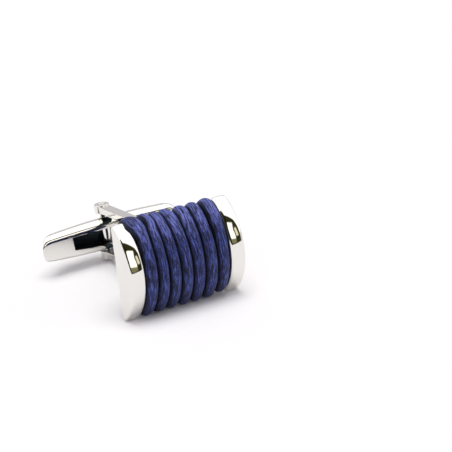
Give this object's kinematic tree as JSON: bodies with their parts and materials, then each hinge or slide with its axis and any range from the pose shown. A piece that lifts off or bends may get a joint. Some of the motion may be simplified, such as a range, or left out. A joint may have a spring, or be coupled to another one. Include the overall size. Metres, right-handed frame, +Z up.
{
  "type": "cufflink",
  "caption": "Cufflink whose spool-shaped face with D-shaped end caps is wound with waxed cord, on a forked post with a swivelling bar toggle.",
  "frame": {"origin": "on the table, under the middle of the box round the lying cufflink", "axes": "+X along the spool and the toggle, +Y from the face back along the post, +Z up; the post dips 7.5 degrees towards the toggle"},
  "size_m": [0.0198, 0.0236, 0.0123],
  "materials": {
    "plated_metal": "rhodium-plated brass, polished to a mirror",
    "waxed_cord": "twisted cotton cord, waxed"
  },
  "bodies": {
    "face": {"spool": "plated_metal", "cord_winding": "waxed_cord", "pivot_pin": "plated_metal"},
    "toggle": {"toggle": "plated_metal"}
  },
  "joints": [
    {"name": "toggle_swivel", "type": "hinge", "parent": "face", "child": "toggle", "pos_m": [0, 0.01034, 0.00375], "axis": [0, 0.1301, 0.9915], "range_deg": [-90, 90]}
  ]
}
